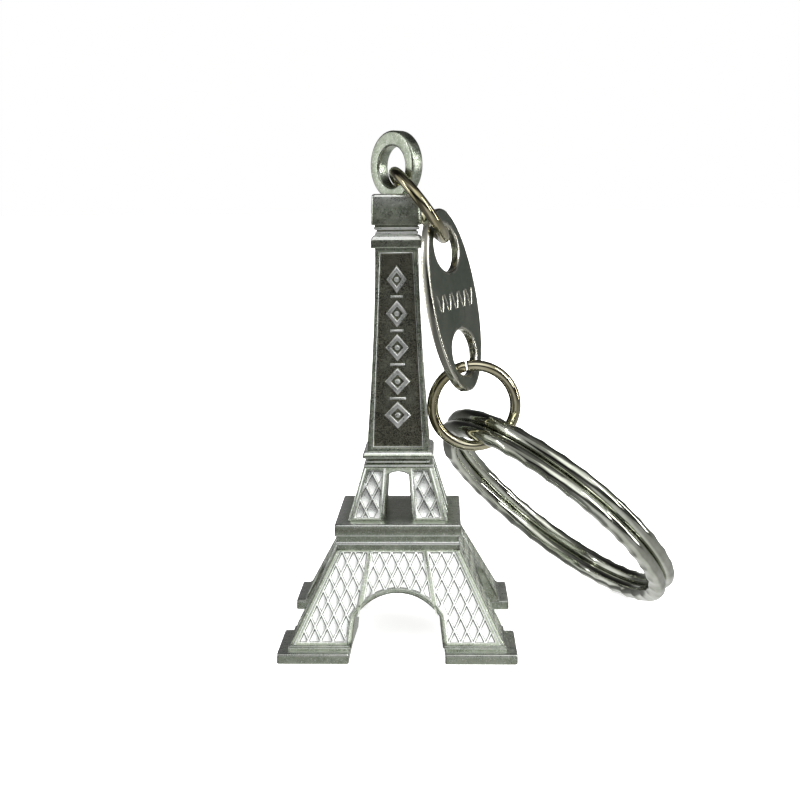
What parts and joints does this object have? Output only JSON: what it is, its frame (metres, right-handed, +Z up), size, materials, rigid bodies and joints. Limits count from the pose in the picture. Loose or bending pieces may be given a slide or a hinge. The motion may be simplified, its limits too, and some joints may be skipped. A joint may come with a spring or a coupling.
{
  "type": "keychain",
  "caption": "Souvenir keychain: a silver die-cast lattice tower on four arched legs, with a jump ring, an oval tag, a second jump ring and a wavy split ring for keys.",
  "frame": {"origin": "on the floor at the centre of the tower's square footprint", "axes": "+Z up along the tower, +X to the side where the chain hangs, -Y is the front"},
  "size_m": [0.0395, 0.0306, 0.05],
  "materials": {
    "plated_casting": "satin",
    "ring_wire": "polished",
    "tag_metal": "satin",
    "split_ring_wire": "polished"
  },
  "bodies": {
    "tower": {"tower_casting": "plated_casting"},
    "upper_ring": {"upper_jump_ring": "ring_wire"},
    "tag_plate": {"tag": "tag_metal"},
    "lower_ring": {"lower_jump_ring": "ring_wire"},
    "key_ring": {"split_ring": "split_ring_wire"}
  },
  "joints": [
    {"name": "upper_ring_swing", "type": "hinge", "parent": "tower", "child": "upper_ring", "pos_m": [0, 0, 0.0462], "axis": [0, -1, 0], "range_deg": [0, 120]},
    {"name": "tag_swing", "type": "hinge", "parent": "upper_ring", "child": "tag_plate", "pos_m": [0.00457, -0.0003, 0.03962], "axis": [0.8584, -0.4883, 0.1571], "range_deg": [0, 35]},
    {"name": "lower_ring_swing", "type": "hinge", "parent": "tag_plate", "child": "lower_ring", "pos_m": [0.00666, -0.0007, 0.02695], "axis": [-0.9758, -0.0112, -0.2185], "range_deg": [-15, 12]},
    {"name": "split_ring_swing", "type": "hinge", "parent": "lower_ring", "child": "key_ring", "pos_m": [0.00968, 0.00002, 0.01937], "axis": [0.8602, -0.0166, 0.5097], "range_deg": [-60, 0]}
  ]
}
